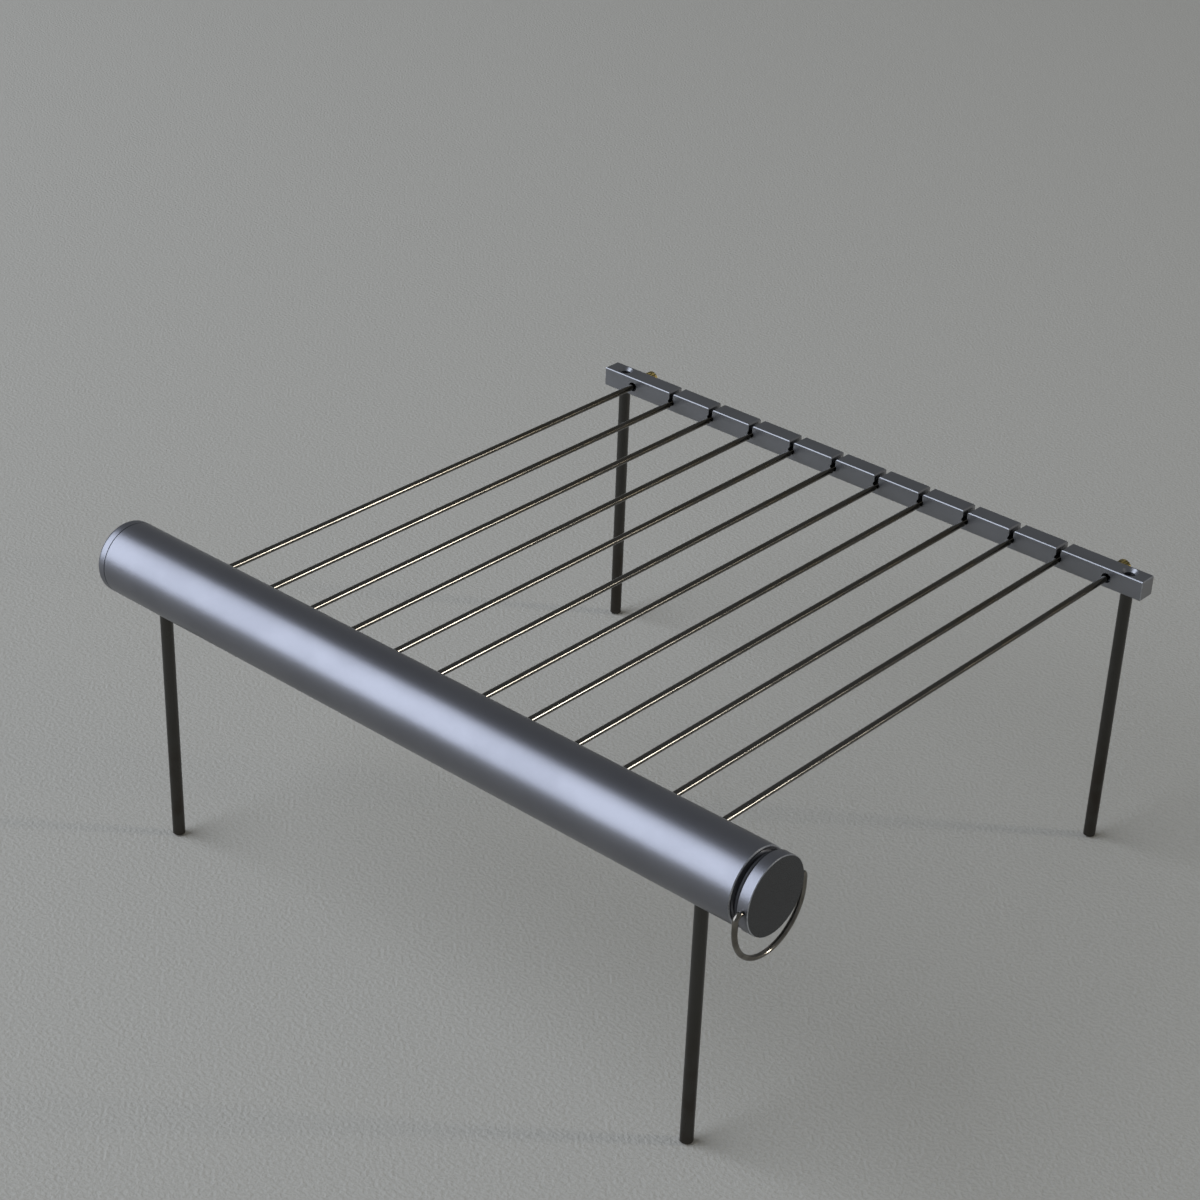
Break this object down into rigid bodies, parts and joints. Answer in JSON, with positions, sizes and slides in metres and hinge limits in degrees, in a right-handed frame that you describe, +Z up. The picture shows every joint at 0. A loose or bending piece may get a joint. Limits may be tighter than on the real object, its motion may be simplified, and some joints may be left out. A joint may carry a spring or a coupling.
{
  "type": "packable grill rack",
  "caption": "Low grill rack that packs into its own tube: loose rods lie between the tube and a slotted cross bar on screw-in legs, and a screw cap with a wire bail closes the tube.",
  "frame": {"origin": "middle of the footprint of the whole rack, on the ground", "axes": "+X along the tube to its screw cap, +Y from the tube to the cross bar, +Z up"},
  "size_m": [0.3072, 0.278, 0.129],
  "materials": {
    "tube_aluminium": "satin, bead blasted and anodised in natural silver grey",
    "bar_aluminium": "satin, bead blasted and anodised in natural silver grey",
    "rod_steel": "drawn and polished stainless wire",
    "leg_steel": "drawn stainless bar with fine lengthwise lines",
    "bail_steel": "polished stainless wire",
    "nut_brass": "turned brass, slightly dulled",
    "seal_rubber": "matt black moulded rubber"
  },
  "bodies": {
    "frame": {"tube": "tube_aluminium", "left_end_cap": "tube_aluminium", "crossbar": "bar_aluminium", "outer_rod_left": "rod_steel", "outer_rod_right": "rod_steel"},
    "seal": {"cap_seal": "seal_rubber"},
    "cap": {"screw_cap": "tube_aluminium"},
    "hanger": {"bail": "bail_steel"},
    "loose_rod_1": {"rod_1": "rod_steel"},
    "loose_rod_2": {"rod_2": "rod_steel"},
    "loose_rod_3": {"rod_3": "rod_steel"},
    "loose_rod_4": {"rod_4": "rod_steel"},
    "loose_rod_5": {"rod_5": "rod_steel"},
    "loose_rod_6": {"rod_6": "rod_steel"},
    "loose_rod_7": {"rod_7": "rod_steel"},
    "loose_rod_8": {"rod_8": "rod_steel"},
    "loose_rod_9": {"rod_9": "rod_steel"},
    "loose_rod_10": {"rod_10": "rod_steel"},
    "leg_front_left": {"leg_front_left": "leg_steel"},
    "leg_front_right": {"leg_front_right": "leg_steel"},
    "leg_back_left": {"leg_back_left": "leg_steel"},
    "leg_back_right": {"leg_back_right": "leg_steel"},
    "thumb_nut_left": {"thumb_nut_left": "nut_brass"},
    "thumb_nut_right": {"thumb_nut_right": "nut_brass"}
  },
  "joints": [
    {"name": "cap_travel", "type": "slide", "parent": "frame", "child": "seal", "axis": [1, 0, 0], "range_m": [-0.0015, 0.0075]},
    {"name": "cap_turn", "type": "hinge", "parent": "seal", "child": "cap", "pos_m": [0.15143, -0.12102, 0.115], "axis": [1, 0, 0], "range_deg": [-360, 1800]},
    {"name": "bail_swing", "type": "hinge", "parent": "cap", "child": "hanger", "pos_m": [0.15143, -0.12102, 0.115], "axis": [0, -1, 0], "range_deg": [-45, 225]},
    {"name": "rod_1_lift", "type": "hinge", "parent": "frame", "child": "loose_rod_1", "pos_m": [-0.09792, -0.10805, 0.11435], "axis": [1, 0, 0], "range_deg": [0, 2]},
    {"name": "rod_2_lift", "type": "hinge", "parent": "frame", "child": "loose_rod_2", "pos_m": [-0.07652, -0.10805, 0.11435], "axis": [1, 0, 0], "range_deg": [0, 2]},
    {"name": "rod_3_lift", "type": "hinge", "parent": "frame", "child": "loose_rod_3", "pos_m": [-0.05513, -0.10805, 0.11435], "axis": [1, 0, 0], "range_deg": [0, 2]},
    {"name": "rod_4_lift", "type": "hinge", "parent": "frame", "child": "loose_rod_4", "pos_m": [-0.03372, -0.10805, 0.11435], "axis": [1, 0, 0], "range_deg": [0, 2]},
    {"name": "rod_5_lift", "type": "hinge", "parent": "frame", "child": "loose_rod_5", "pos_m": [-0.01232, -0.10805, 0.11435], "axis": [1, 0, 0], "range_deg": [0, 2]},
    {"name": "rod_6_lift", "type": "hinge", "parent": "frame", "child": "loose_rod_6", "pos_m": [0.00907, -0.10805, 0.11435], "axis": [1, 0, 0], "range_deg": [0, 2]},
    {"name": "rod_7_lift", "type": "hinge", "parent": "frame", "child": "loose_rod_7", "pos_m": [0.03047, -0.10805, 0.11435], "axis": [1, 0, 0], "range_deg": [0, 2]},
    {"name": "rod_8_lift", "type": "hinge", "parent": "frame", "child": "loose_rod_8", "pos_m": [0.05187, -0.10805, 0.11435], "axis": [1, 0, 0], "range_deg": [0, 2]},
    {"name": "rod_9_lift", "type": "hinge", "parent": "frame", "child": "loose_rod_9", "pos_m": [0.07328, -0.10805, 0.11435], "axis": [1, 0, 0], "range_deg": [0, 2]},
    {"name": "rod_10_lift", "type": "hinge", "parent": "frame", "child": "loose_rod_10", "pos_m": [0.09467, -0.10805, 0.11435], "axis": [1, 0, 0], "range_deg": [0, 2]},
    {"name": "leg_front_left_unscrew", "type": "slide", "parent": "frame", "child": "leg_front_left", "axis": [0, 0, -1], "range_m": [0, 0.006]},
    {"name": "leg_front_right_unscrew", "type": "slide", "parent": "frame", "child": "leg_front_right", "axis": [0, 0, -1], "range_m": [0, 0.006]},
    {"name": "leg_back_left_unscrew", "type": "slide", "parent": "frame", "child": "leg_back_left", "axis": [0, 0, -1], "range_m": [0, 0.009]},
    {"name": "leg_back_right_unscrew", "type": "slide", "parent": "frame", "child": "leg_back_right", "axis": [0, 0, -1], "range_m": [0, 0.009]},
    {"name": "thumb_nut_left_unscrew", "type": "slide", "parent": "frame", "child": "thumb_nut_left", "axis": [0, 1, 0], "range_m": [0, 0.006]},
    {"name": "thumb_nut_right_unscrew", "type": "slide", "parent": "frame", "child": "thumb_nut_right", "axis": [0, 1, 0], "range_m": [0, 0.006]}
  ],
  "couplings": [
    {"joint": "cap_travel", "follows": "cap_turn", "m_per_rad": 0.00023873}
  ]
}
